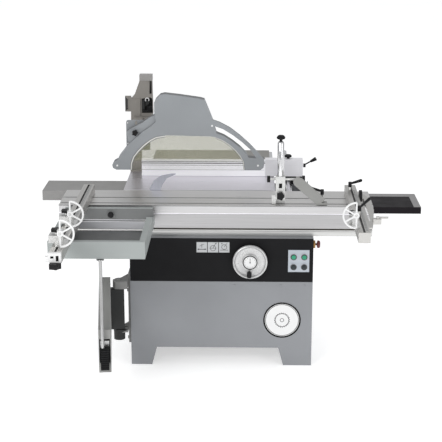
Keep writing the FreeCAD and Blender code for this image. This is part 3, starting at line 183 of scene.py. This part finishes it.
ALONG_X, ALONG_Y, ALONG_Z = (0.01, 1, 1), (1, 0.01, 1), (1, 1, 0.01)
LOOKS = {
    "cabinet": paint("cabinet_paint", (0.262, 0.270, 0.285)),
    "panel": paint("panel_black", (0.010, 0.010, 0.011), 0.6, 1200, 0.0002, 0.05, 0.12),
    "column": paint("column_paint", (0.262, 0.246, 0.226), 0.5),
    # a lighter copy of the column paint for its lit cap: painted light
    "column_top_painted_light": paint("column_top_painted_light_paint", (0.33, 0.32, 0.31), 0.5),
    "guard": paint("guard_paint", (0.285, 0.300, 0.315), 0.5),
    # painted shade, for the hood's top faces and the shadow lines beside the shield's edging
    "guard_painted_shade": paint("guard_painted_shade_paint", (0.17, 0.175, 0.18), 0.6),
    "frame": paint("frame_paint", (0.328, 0.352, 0.347), 0.42),
    "frame_dark": paint("frame_shaded", (0.165, 0.170, 0.170), 0.5),
    "tray": paint("tray_shaded", (0.095, 0.099, 0.098), 0.5),
    "outfeed": paint("outfeed_paint", (0.285, 0.280, 0.275), 0.4),
    "rear_table": paint("rear_table_paint", (0.27, 0.262, 0.245), 0.45),
    "arm": paint("arm_paint", (0.29, 0.29, 0.28), 0.45),
    "bracket": paint("bracket_paint", (0.23, 0.23, 0.225), 0.5),
    # near black for painted shadow on the arm's bracket and root and painted shade on the works in the
    # column's head
    "bracket_dark": paint("painted_shade_dark_paint", (0.028, 0.029, 0.029), 0.5, 900, 0.00012, 0.05, 0.25),
    "motor": paint("motor_paint", (0.06, 0.08, 0.1), 0.5),
    "table": metal("ground_table", (0.77, 0.755, 0.79), 0.34, ALONG_X, 300, 0.00002, 0.02),
    "carriage": metal("anodised_along_x", (0.72, 0.71, 0.70), 0.36, ALONG_X),
    # darker copies of the carriage's anodised colour for its front faces: painted shade
    "carriage_front_painted_shade": metal("anodised_front_painted_shade", (0.59, 0.585, 0.59), 0.36, ALONG_X),
    "carriage_low_front_painted_shade": metal("anodised_low_front_painted_shade", (0.455, 0.45, 0.455), 0.36, ALONG_X),
    "line": metal("profile_line", (0.22, 0.22, 0.22), 0.5, ALONG_X),
    # T-slot faces darker than the carriage's top and lighter than the grooves: painted shade
    "slot": metal("slot_painted_half_shade", (0.42, 0.42, 0.42), 0.4, ALONG_X),
    "groove": metal("groove_shadow", (0.07, 0.07, 0.07), 0.5, ALONG_X),
    "groove_y": metal("groove_shadow_y", (0.06, 0.06, 0.06), 0.5, ALONG_Y),
    "fence_y": metal("anodised_along_y", (0.60, 0.59, 0.57), 0.38, ALONG_Y),
    # the rip fence's bar and its carrier glow faintly: painted light
    "rip_bar": bright(metal("anodised_rip", (0.84, 0.835, 0.87), 0.5, ALONG_X, 380, 0.00004, 0.03, 0.05),
                      0.24),
    "carrier": bright(metal("carrier_satin", (0.68, 0.675, 0.70), 0.45, ALONG_X, 240, 0.00004, 0.02, 0.05),
                      0.12),
    "beam": metal("beam_ground", (0.62, 0.62, 0.61), 0.35, ALONG_X),
    # the aluminium rail's front face, darker than its top: painted shade
    "rail_front_painted_shade": metal("rail_front_painted_shade", (0.66, 0.66, 0.69), 0.4, ALONG_X, 380, 0.00004, 0.05, 0.15),
    "scale": metal("scale_strip", (0.36, 0.36, 0.355), 0.4, ALONG_Y, 300, 0.00002, 0.03, 0.3),
    "bezel": metal("bezel_chrome", (0.20, 0.20, 0.21), 0.2, (1, 1, 1), 300, 0.00001, 0.03, 0.5),
    # bright aluminium made lighter where lit: painted highlight on the rail tops and a highlight line on
    # the carriage's front edge
    "rail_painted_highlight": metal("rail_painted_highlight", (0.90, 0.89, 0.92), 0.35, ALONG_X, 380, 0.00004, 0.04),
    "extension": paint("extension_black", (0.010, 0.008, 0.010), 0.5, 900, 0.00012, 0.05, 0.12),
    "extension_rim": paint("extension_rim", (0.27, 0.265, 0.265), 0.45),
    "chrome": metal("chrome_rod", (0.72, 0.72, 0.73), 0.14, ALONG_Z, 200, 0.00001, 0.03),
    "post": metal("post_zinc", (0.46, 0.46, 0.46), 0.3, ALONG_Z, 200, 0.00001, 0.03),
    "chrome_y": metal("chrome_rail", (0.78, 0.78, 0.80), 0.16, ALONG_Y, 200, 0.00001, 0.03),
    "steel": metal("ground_steel", (0.52, 0.52, 0.52), 0.3, (1, 0.05, 1), 500),
    "blade": metal("blade_steel", (0.62, 0.62, 0.63), 0.25, (1, 0.05, 1), 260, 0.00003),
    "knife": metal("knife_steel", (0.45, 0.46, 0.52), 0.4, ALONG_Z, 300),
    "alloy": casting("cast_alloy", (0.68, 0.68, 0.67), 0.42, 0.7),
    "flag": paint("flag_lacquer", (0.78, 0.78, 0.78), 0.35, 700, 0.0001, 0.03),
    "iron": casting("cast_iron_painted", (0.07, 0.075, 0.075), 0.6, 0.3),
    "wheel": casting("wheel_alloy", (0.60, 0.60, 0.60), 0.34, 0.6),
    "white": paint("dial_white", (0.80, 0.80, 0.80), 0.35, 1500, 0.00003, 0.01),
    "trim": paint("edge_trim", (0.72, 0.71, 0.68), 0.4, 1500, 0.00003, 0.02),
    "plate": metal("printed_plate", (0.44, 0.475, 0.52), 0.4, ALONG_X, 300, 0.00002, 0.03, 0.3),
    "pictogram": paint("pictogram_plate", (0.50, 0.51, 0.52), 0.4, 1500, 0.00003, 0.02),
    "knob": moulding("knob_black", (0.007, 0.007, 0.008), 0.42, 0.0, 0.22),
    "green": moulding("button_green", (0.003, 0.27, 0.14), 0.28, 0.4),
    "dark": moulding("selector_dark", (0.02, 0.03, 0.035), 0.4),
    "red": moulding("stop_red", (0.09, 0.006, 0.006), 0.35, 0.2),
    "amber": moulding("stop_base", (0.30, 0.15, 0.02), 0.45),
    "rubber": moulding("belt_rubber", (0.015, 0.015, 0.015), 0.75),
    "brass": metal("cage_brass", (0.22, 0.20, 0.16), 0.45, ALONG_Y),
    # black for print and dark gaps, and for dark sheets of painted shade in the column's head and the
    # hold-down's sight hole
    "print_and_shade_black": moulding("black_print_and_painted_shade", (0.008, 0.008, 0.008), 0.6, 0.0, 0.15),
    "clear": clear_sheet("clear_polycarbonate"),
}

NODE_LOOKS = {
    "base_cabinet": "cabinet", "rear_door": "cabinet", "front_panel": "panel", "control_plates": "plate",
    "dust_port": "cabinet", "main_table": "table", "outfeed_table": "outfeed",
    "widening_table": "rear_table", "fence_rail": "chrome_y", "slide_beam": "beam",
    "guard_column": "column", "guard_boom": "column", "arm_bracket": "bracket", "carriage": "carriage",
    "carriage_extension": "extension", "roller_cage": "brass", "outrigger_frame": "frame",
    "outrigger_knob": "knob", "crosscut_fence": "fence_y", "fence_extension": "flag", "stop_a": "alloy",
    "stop_b": "alloy", "stop_c": "alloy", "stop_flag_a": "flag", "stop_flag_b": "flag",
    "stop_flag_c": "flag", "short_fence": "fence_y", "fence_lever_a": "knob", "fence_lever_b": "knob",
    "clamp_body": "alloy", "hold_down_brace": "arm", "brace_lever": "knob", "clamp_tube": "chrome",
    "clamp_star_knob": "knob", "rip_fence_carrier": "carrier", "rip_fence_profile": "rip_bar",
    "rip_fence_lever": "knob", "rip_fence_knob": "knob", "swing_arm": "arm", "support_post": "post",
    "tilt_frame": "iron", "tilt_handwheel": "wheel", "lift_handwheel": "wheel", "arbor_carriage": "iron",
    "main_motor": "motor", "saw_arbor": "steel", "saw_blade": "blade", "riving_knife": "knife",
    "motor_pulley": "steel", "drive_belt": "rubber", "scoring_unit": "iron", "scoring_blade": "blade",
    "guard_hood": "guard", "guard_shield": "clear", "guard_knob": "knob", "start_button_a": "green",
    "start_button_b": "green", "selector_a": "dark", "selector_b": "dark", "estop_button": "red",
}
for name, look in NODE_LOOKS.items():
    nodes[name].data.materials.clear()
    nodes[name].data.materials.append(LOOKS[look])


def repaint(name, look, low=(None, None, None), high=(None, None, None), facing=None):
    """Another material on the faces whose centre lies in a box, in mm, and that face a given way."""
    mesh = nodes[name].data
    mesh.materials.append(LOOKS[look])
    index = len(mesh.materials) - 1
    for face in mesh.polygons:
        centre = face.center * 1000
        inside = all((low[i] is None or low[i] <= centre[i]) and (high[i] is None or centre[i] <= high[i])
                     for i in range(3))
        if inside and (facing is None or face.normal.dot(Vector(facing)) > 0.7):
            face.material_index = index


TOWARDS_FRONT, TOWARDS_TOP = (0, -1, 0), (0, 0, 1)
# carriage: painted shade on its upper and lower front faces, lighter painted shade in the T-slots and a
# painted highlight line along its front edge; painted shadow in the grooves of the drawn profiles
repaint("carriage", "carriage_front_painted_shade", (None, None, 808), (None, -309, None), TOWARDS_FRONT)
repaint("carriage", "carriage_low_front_painted_shade", high=(None, -309, 805), facing=TOWARDS_FRONT)
repaint("carriage", "slot", (None, -281, 834), (None, -257, 849.5))
repaint("carriage", "slot", (None, -170, 834), (None, -146, 849.5))
repaint("carriage", "rail_painted_highlight", (None, -309.9, 803), (None, -305, 810))
repaint("crosscut_fence", "groove_y", (-709, None, 895), (-697, None, 899.8))
repaint("short_fence", "groove_y", (659, None, 895), (671, None, 899.8))
repaint("short_fence", "knob", (693.5, -332, 870), (709, -268, 934))
repaint("rip_fence_profile", "groove", (None, 315.2, 921), (None, 318.5, 935))
repaint("rip_fence_profile", "groove", (None, 326, 874), (None, 334, 927))
# outrigger: painted shade on the rear bar, the aluminium rail with a painted highlight on its top, painted
# shade on its front and painted shadow in its groove, and painted shade in the tray
repaint("outrigger_frame", "frame_dark", (-764, -384, 790), (-345, -350, 849))
repaint("outrigger_frame", "rail_painted_highlight", (-764, -627, 812), (-366, -580, 852))
repaint("outrigger_frame", "rail_front_painted_shade", (-764, -628, 812), (-366, -620, 852), TOWARDS_FRONT)
repaint("outrigger_frame", "groove", (-764, -613, 843), (-366, -599, 849.5))
repaint("outrigger_frame", "tray", (-789, -937, 799), (-341, -628, 805))
# knobs on the three stops, and the crosscut fence's end block with its knob and sight
for tag in "abc":
    low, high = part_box(f"stop_{tag}")
    repaint(f"stop_{tag}", "knob", (None, low.y * 1000 + 52, 955), (None, None, 975))
repaint("fence_extension", "knob", high=(None, -1291.5, 859.5))
repaint("fence_extension", "knob", high=(None, -1312.5, 860.5))
repaint("fence_extension", "print_and_shade_black", (None, -1311.8, 858), (None, -1307.2, 896))
# hold-down and rip fence
repaint("clamp_body", "knob", (405, None, 960), (None, None, 1000))
repaint("clamp_body", "knob", (None, None, 960), (245, None, 1000))
repaint("clamp_tube", "knob", (None, None, 1177))
repaint("rip_fence_carrier", "panel", (317, 334, None), (402.5, None, 895))
repaint("rip_fence_carrier", "knob", (402, 340, None), (None, None, 851.8))
# dial and crank, plates, badge, emergency stop's base, screws, and the switch station
repaint("tilt_handwheel", "knob", (127, None, 491), (153, -400.5, 529))
repaint("tilt_handwheel", "print_and_shade_black", (107, -405.5, 538), (181, -403.2, 614))
repaint("control_plates", "pictogram", (-132, None, 613), (45, None, 672))
repaint("control_plates", "white", (200, None, 140), (410, None, 350))
repaint("control_plates", "amber", (465.8, None, None))
repaint("control_plates", "cabinet", (None, None, 430), (None, None, 446))
repaint("control_plates", "chrome", (350, -364.5, 525), (436, -360.1, 610))
# column head with painted light on its cap and painted shade on its front, hood with painted shade on its
# top faces, and arm with painted shadow on its bracket and root
repaint("guard_boom", "column_top_painted_light", (None, None, 1364))
repaint("guard_boom", "guard", (None, None, 1055), (None, 43, 1225))
repaint("guard_boom", "knob", (-434, 410, 1196), (-403, 441, 1226))
# a dark patch on the column's front beside its head: painted shade
repaint("guard_column", "groove", (None, None, 1195), (-540, 454.2, 1265), TOWARDS_FRONT)
# the hood's top faces darkened: painted shade
repaint("guard_hood", "guard_painted_shade", (None, None, 1000), facing=TOWARDS_TOP)
repaint("guard_hood", "white", high=(None, -28.4, None))
# painted shadow across the arm's bracket and root
repaint("arm_bracket", "bracket_dark", high=(-500, None, 207))
repaint("swing_arm", "bracket_dark", (-600, -400, 205), (-495, -340, 430))
repaint("support_post", "panel", high=(None, None, 327))


# Detail pieces ------------------------------------------------------------------------------------
PRINT = 0.3  # thickness of printed marks, in mm


def add_mesh(name, body, look, build):
    """A new mesh object, built in the frame's millimetres, that moves with a CAD body."""
    shape = bmesh.new()
    build(shape)
    bmesh.ops.scale(shape, vec=(0.001, 0.001, 0.001), verts=shape.verts)
    bmesh.ops.recalc_face_normals(shape, faces=shape.faces)
    mesh = bpy.data.meshes.new(name)
    shape.to_mesh(mesh)
    shape.free()
    mesh.materials.append(LOOKS[look])
    piece = bpy.data.objects.new(name, mesh)
    bpy.context.scene.collection.objects.link(piece)
    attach(piece, body)
    return piece


def extrude(shape, points, along):
    """A flat outline carried along a vector."""
    near = [shape.verts.new(point) for point in points]
    far = [shape.verts.new(Vector(point) + Vector(along)) for point in points]
    shape.faces.new(near)
    shape.faces.new(far[::-1])
    for i in range(len(points)):
        shape.faces.new((near[i], near[i - 1], far[i - 1], far[i]))


def slab(shape, outline, front, deep):
    """An outline in the front plane, given as X and Z, with its depth along Y."""
    extrude(shape, [(x, front, z) for x, z in outline], (0, deep, 0))


def circle(x, z, radius, count=40, start=0.0, sweep=360.0):
    """Points along an arc in the front plane, as X and Z; the end of the sweep is left out."""
    return [(x + radius * math.cos(math.radians(start + sweep * i / count)),
             z + radius * math.sin(math.radians(start + sweep * i / count))) for i in range(count)]


def hoop(shape, x, z, inner, outer, front, deep, count=56):
    """A flat ring facing forwards, closed all round."""
    loops = []
    for radius, y in ((inner, front), (outer, front), (outer, front + deep), (inner, front + deep)):
        loops.append([shape.verts.new((px, y, pz)) for px, pz in circle(x, z, radius, count)])
    for k in range(4):
        one, two = loops[k], loops[(k + 1) % 4]
        for i in range(count):
            shape.faces.new((one[i], one[i - 1], two[i - 1], two[i]))


def patch(shape, x1, y1, x2, y2, z, tall):
    """A thin rectangle lying on a level face."""
    extrude(shape, [(x1, y1, z), (x2, y1, z), (x2, y2, z), (x1, y2, z)], (0, 0, tall))


def band(shape, x1, x2, y, z, tall):
    """A thin line along X, lying just in front of an upright face."""
    extrude(shape, [(x1, y, z), (x2, y, z), (x2, y, z + tall), (x1, y, z + tall)], (0, 0.3, 0))


def bar(shape, x1, z1, x2, z2, width, front, deep):
    """A straight printed line from one point to another."""
    along = Vector((x2 - x1, z2 - z1)).normalized() * width / 2
    side = Vector((-along.y, along.x))
    slab(shape, [(x1 + side.x, z1 + side.y), (x2 + side.x, z2 + side.y), (x2 - side.x, z2 - side.y),
                 (x1 - side.x, z1 - side.y)], front, deep)


def arrow(shape, x, z, heading, size, front, deep):
    """A printed arrow head that points along a heading in degrees."""
    tip = [(size, 0), (-size * 0.5, size * 0.7), (-size * 0.5, -size * 0.7)]
    turn = math.radians(heading)
    slab(shape, [(x + a * math.cos(turn) - b * math.sin(turn), z + a * math.sin(turn) + b * math.cos(turn))
                 for a, b in tip], front, deep)


def dial():
    """The gravity dial in the tilt handwheel's hub, and two arrows on the wheel round it."""
    x, z = 144, 576
    face = -403.3
    print_face = face - PRINT
    wheel_face = -386
    add_mesh("dial_face", "tilt_wheel", "white", lambda s: slab(s, circle(x, z, 32), face, -PRINT))

    def marks(shape):
        for i in range(24):
            angle = math.radians(15 * i)
            inner = 24 if i % 2 == 0 else 27
            bar(shape, x + inner * math.cos(angle), z + inner * math.sin(angle),
                x + 30 * math.cos(angle), z + 30 * math.sin(angle), 1.2, print_face, -PRINT)
        bar(shape, x, z - 5, x, z + 22, 2.2, print_face, -0.5)
        slab(shape, circle(x, z, 3, 16), print_face, -0.8)
    add_mesh("dial_marks", "tilt_wheel", "print_and_shade_black", marks)

    def arrows(shape):
        for start in (35, 215):
            points = circle(x, z, 55, 12, start, 50)
            for one, two in zip(points, points[1:]):
                bar(shape, *one, *two, 1.6, wheel_face, -1.5)
            arrow(shape, *points[-1], start + 140, 4, wheel_face, -1.5)
    add_mesh("wheel_arrows", "tilt_wheel", "print_and_shade_black", arrows)


def badge():
    """A round white plate's printed border, and a toothed ring in place of a mark."""
    x, z = 311, 251
    face = -356.5

    def rings(shape):
        hoop(shape, x, z, 88.5, 97, face, -PRINT, 72)
        hoop(shape, x, z, 83.5, 86, face, -PRINT, 72)
    add_mesh("badge_rings", "base", "print_and_shade_black", rings)

    def symbol(shape):
        teeth = []
        for i in range(24):
            for radius, lead in ((33, 0.0), (40, 5.0)):
                angle = math.radians(15 * i + lead)
                teeth.append((x + radius * math.cos(angle), z + radius * math.sin(angle)))
        for one, two in zip(teeth, teeth[1:] + teeth[:1]):
            bar(shape, *one, *two, 2.5, face, -PRINT)
        hoop(shape, x, z, 8, 10.5, face, -PRINT, 32)
    add_mesh("badge_symbol", "base", "print_and_shade_black", symbol)


def pictograms():
    """Three generic signs: a double arrow, and two discs over a line with a rising or a turning arrow."""
    face = -358
    left, pitch, side = -130, 57, 56
    foot, head = 614, 671

    def lines(shape):
        for i in range(3):
            start = left + pitch * i
            for z in (foot + 0.6, head - 0.6):
                bar(shape, start, z, start + side, z, 1.2, face, -PRINT)
            for x in (start + 0.6, start + side - 0.6):
                bar(shape, x, foot, x, head, 1.2, face, -PRINT)
        bar(shape, -118, 632, -86, 632, 3, face, -PRINT)
        arrow(shape, -120, 632, 180, 6, face, -PRINT)
        arrow(shape, -84, 632, 0, 6, face, -PRINT)
        bar(shape, -102, 640, -102, 660, 2, face, -PRINT)
        bar(shape, -114, 648, -90, 660, 1.6, face, -PRINT)
        hoop(shape, -45, 638, 13, 15, face, -PRINT, 32)
        bar(shape, -62, 638, -28, 638, 2, face, -PRINT)
        bar(shape, -45, 640, -32, 662, 2, face, -PRINT)
        arrow(shape, -30, 664, 60, 5, face, -PRINT)
        hoop(shape, 12, 644, 12, 14, face, -PRINT, 32)
        bar(shape, -8, 628, 32, 628, 2, face, -PRINT)
        bar(shape, 12, 646, 26, 664, 2, face, -PRINT)
        arrow(shape, 0, 662, 135, 5, face, -PRINT)
    add_mesh("pictogram_lines", "base", "print_and_shade_black", lines)


def switch_rings():
    """Chrome bezels with a dark gap round the four push buttons and selectors."""
    spots = [(x, z) for x in (366, 420) for z in (594, 541)]
    face = -364.1

    def around(shape, inner, outer, tall):
        for x, z in spots:
            hoop(shape, x, z, inner, outer, face, -tall, 40)
    add_mesh("bezel_rings", "base", "bezel", lambda s: around(s, 13.6, 16.5, 0.9))
    add_mesh("bezel_gaps", "base", "print_and_shade_black", lambda s: around(s, 11.5, 13.6, 0.4))


def profile_lines():
    """Shadow lines of the drawn profiles: the rip fence's front and the carriage's upper edge."""
    def fence(shape):
        for z, tall in ((923, 1.8), (912, 1.8), (886, 1.4)):
            band(shape, -459, 222, 314.6, z, tall)
    add_mesh("rip_fence_lines", "rip_profile", "line", fence)

    add_mesh("carriage_edge_line", "carriage", "line", lambda s: band(s, -833, 767, -310.1, 845, 3.5))


def column_head():
    """Painted shade in the column's head: a dark sheet over its recess, its works in painted shade, and a
    dark sheet in the slit beside the crank; and rivets on the mount.
    """
    head_face, works_face, mount_face = 440, 438, 36
    recess = [(-464, 1183), (-404, 1183), (-404, 1262), (-416, 1270), (-464, 1262)]
    add_mesh("head_recess_painted_shade", "base", "print_and_shade_black", lambda s: slab(s, recess, head_face, -1.5))

    def works(shape):
        slab(shape, [(-461, 1205), (-447, 1205), (-447, 1258), (-461, 1258)], works_face, -14)
        slab(shape, [(-444, 1222), (-424, 1234), (-420, 1252), (-440, 1252)], works_face, -10)
        for z in (1190, 1197, 1244):
            bar(shape, -462, z, -410, z, 2.5, works_face, -6)
    add_mesh("head_works_in_painted_shade", "base", "bracket_dark", works)
    add_mesh("head_ring", "base", "white", lambda s: hoop(s, -433, 1258, 8, 12, works_face, -9, 32))
    slit = [(-419, 1292), (-408, 1292), (-407, 1366), (-414, 1366)]
    add_mesh("head_slit_painted_shade", "base", "print_and_shade_black", lambda s: slab(s, slit, head_face, -1))

    def rivets(shape):
        for x, z in ((-506, 1206), (-506, 1096), (-500, 1150)):
            slab(shape, circle(x, z, 3.2, 12), mount_face, -1.2)
    add_mesh("mount_rivets", "base", "white", rivets)


def hood_trim():
    """Light edging strip between two shadow lines, where the clear sheets leave the hood.

    Each side has an outer line on the hood's arch and an inner line below it, and each strip takes a
    share of the width between them.
    """
    face = -26.6
    arch = [(-492, 967), (-490, 1002), (-476, 1040), (-453, 1070), (-420, 1104), (-386, 1130),
            (-352, 1147), (-304, 1154)]
    inner = [(-480, 967), (-478, 1000), (-465, 1034), (-443, 1062), (-411, 1094), (-379, 1119),
             (-349, 1135), (-304, 1143)]
    right = [(-36, 1143), (-1, 1130), (36, 1106), (67, 1077), (94, 1044), (110, 1012), (115, 967)]
    near = [(-38, 1137), (-5, 1124), (31, 1100), (61, 1072), (87, 1040), (103, 1010), (108, 967)]

    def strip(shape, first, last):
        for outside, inside in ((arch, inner), (right, near)):
            rims = [[Vector(a).lerp(Vector(b), share) for a, b in zip(outside, inside)]
                    for share in (first, last)]
            for i in range(len(outside) - 1):
                corners = (rims[0][i], rims[0][i + 1], rims[1][i + 1], rims[1][i])
                slab(shape, [tuple(corner) for corner in corners], face, 1.0)

    def lines(shape):
        strip(shape, 0.0, 0.28)
        strip(shape, 0.72, 1.0)
    add_mesh("shield_edging", "guard", "trim", lambda s: strip(s, 0.28, 0.72))
    add_mesh("shield_lines", "guard", "guard_painted_shade", lines)


def arm_details():
    """Two bolt heads on the arm's root and grip ribs on the post, in the directions of the turned arm."""
    pivot_x, pivot_y = -530, -370
    turn = math.radians(6)

    def swing(x, y, z):
        dx, dy = x - pivot_x, y - pivot_y
        return (pivot_x + dx * math.cos(turn) - dy * math.sin(turn),
                pivot_y + dx * math.sin(turn) + dy * math.cos(turn), z)

    def raised(shape, outline, y, tall, x, z):
        ring = [swing(px, y, pz) for px, pz in outline]
        extrude(shape, ring, Vector(swing(x, y - tall, z)) - Vector(swing(x, y, z)))

    def bolts(shape):
        for z in (250, 330):
            raised(shape, circle(-578, z, 6, 12), -394.2, 2.8, -578, z)
    add_mesh("arm_bolts", "arm", "white", bolts)

    def ribs(shape):
        for i in range(9):
            z = 224 + 11 * i
            raised(shape, ((-619, z), (-581, z), (-581, z + 5), (-619, z + 5)), -966.2, 3.8, -600, z)
    add_mesh("post_ribs", "post", "knob", ribs)


def extension_rim():
    """Grey border along the far and outer edges of the table's black end piece."""
    right, back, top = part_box("carriage_extension")[1] * 1000
    far_border, end_border, edge = 58, 36, 0.5

    def strips(shape):
        patch(shape, right - 240, back - far_border, right - edge, back - edge, top, 0.8)
        patch(shape, right - end_border, -306, right - edge, back - far_border, top, 0.8)
    add_mesh("extension_rim_strips", "carriage", "extension_rim", strips)


def clamp_details():
    """Painted shade: a dark sheet in the sight hole of the hold-down's body."""
    window = [(288, 938), (304, 938), (304, 962), (288, 962)]
    add_mesh("clamp_window_painted_shade", "hold_down", "print_and_shade_black", lambda s: slab(s, window, -292, -0.8))


def scales():
    """Measuring strips with printed ticks on the crosscut and short fences."""
    top, thick, step = 900, 0.35, 10
    for name, body, x1, x2, near, far in (("crosscut", "crosscut", -695, -683, -1270, -100),
                                          ("short", "short", 674, 686, -930, -175)):
        add_mesh(f"{name}_scale", body, "scale", lambda s: patch(s, x1, near, x2, far, top, thick))

        def ticks(shape):
            for i in range(int((far - near) / step)):
                reach = 8 if i % 5 == 0 else 4
                y = near + 5 + step * i
                patch(shape, x1, y, x1 + reach, y + 1.2, top + thick, 0.15)
        add_mesh(f"{name}_ticks", body, "print_and_shade_black", ticks)


dial()
badge()
pictograms()
column_head()
hood_trim()
arm_details()
extension_rim()
clamp_details()
scales()
switch_rings()
profile_lines()


def soften(piece):
    """Rounds a node's hard edges slightly; its flat faces keep their own normals."""
    weld = piece.modifiers.new("weld", "WELD")
    weld.merge_threshold = 0.00002
    bevel = piece.modifiers.new("edge", "BEVEL")
    bevel.width = 0.0006
    bevel.segments = 1
    bevel.limit_method = "ANGLE"
    bevel.angle_limit = math.radians(35)
    bevel.use_clamp_overlap = True


for piece in nodes.values():
    soften(piece)


# Light, floor and camera --------------------------------------------------------------------------
def area_light(name, place, target, size, power):
    """A rectangular soft light aimed at a point."""
    data = bpy.data.lights.new(name, "AREA")
    data.shape = "RECTANGLE"
    data.size, data.size_y = size
    data.energy = power
    lamp = bpy.data.objects.new(name, data)
    lamp.location = place
    lamp.rotation_euler = (Vector(target) - Vector(place)).to_track_quat("-Z", "Y").to_euler()
    bpy.context.scene.collection.objects.link(lamp)


def world_light():
    world = bpy.data.worlds.new("studio")
    world.use_nodes = True
    background = world.node_tree.nodes["Background"]
    background.inputs["Color"].default_value = (0.98, 0.99, 1.0, 1)
    background.inputs["Strength"].default_value = 0.55
    bpy.context.scene.world = world


def floor_sheet():
    """A pale floor that glows a little, so that it merges with the background."""
    mesh = bpy.data.meshes.new("floor")
    reach = 40
    mesh.from_pydata([(-reach, -reach, 0), (reach, -reach, 0), (reach, reach, 0), (-reach, reach, 0)], [],
                     [(0, 1, 2, 3)])
    floor = bpy.data.objects.new("floor", mesh)
    bpy.context.scene.collection.objects.link(floor)
    made, tree, shader = new_material("floor_pale", (0.92, 0.92, 0.92), 0.8, 0.0)
    shader.inputs["Emission Color"].default_value = (1, 1, 1, 1)
    shader.inputs["Emission Strength"].default_value = 0.5
    tree.links.new(two_tone(tree, noise(tree, 2.0), (0.91, 0.91, 0.91), (0.94, 0.94, 0.94)),
                   shader.inputs["Base Color"])
    mesh.materials.append(made)


def front_camera():
    """A long lens in front of the saw, a little above its tables."""
    tilt_down, pan = 15.75, 1.25
    data = bpy.data.cameras.new("camera")
    data.sensor_width = 36
    data.lens = 102.2
    data.clip_end = 100
    camera = bpy.data.objects.new("camera", data)
    camera.location = (0.129, -6.466, 2.505)
    camera.rotation_euler = (math.radians(90 - tilt_down), 0, math.radians(pan))
    bpy.context.scene.collection.objects.link(camera)
    bpy.context.scene.camera = camera


world_light()
area_light("key", (-2.4, -4.6, 3.0), (0, 0, 0.7), (2.4, 2.0), 85)
area_light("fill", (3.4, -4.0, 2.2), (0, 0, 0.7), (2.4, 2.4), 35)
area_light("top", (0.4, 0.8, 4.2), (0, 0, 0.8), (3.4, 2.0), 30)
floor_sheet()
front_camera()
bpy.context.scene.view_settings.view_transform = "Standard"
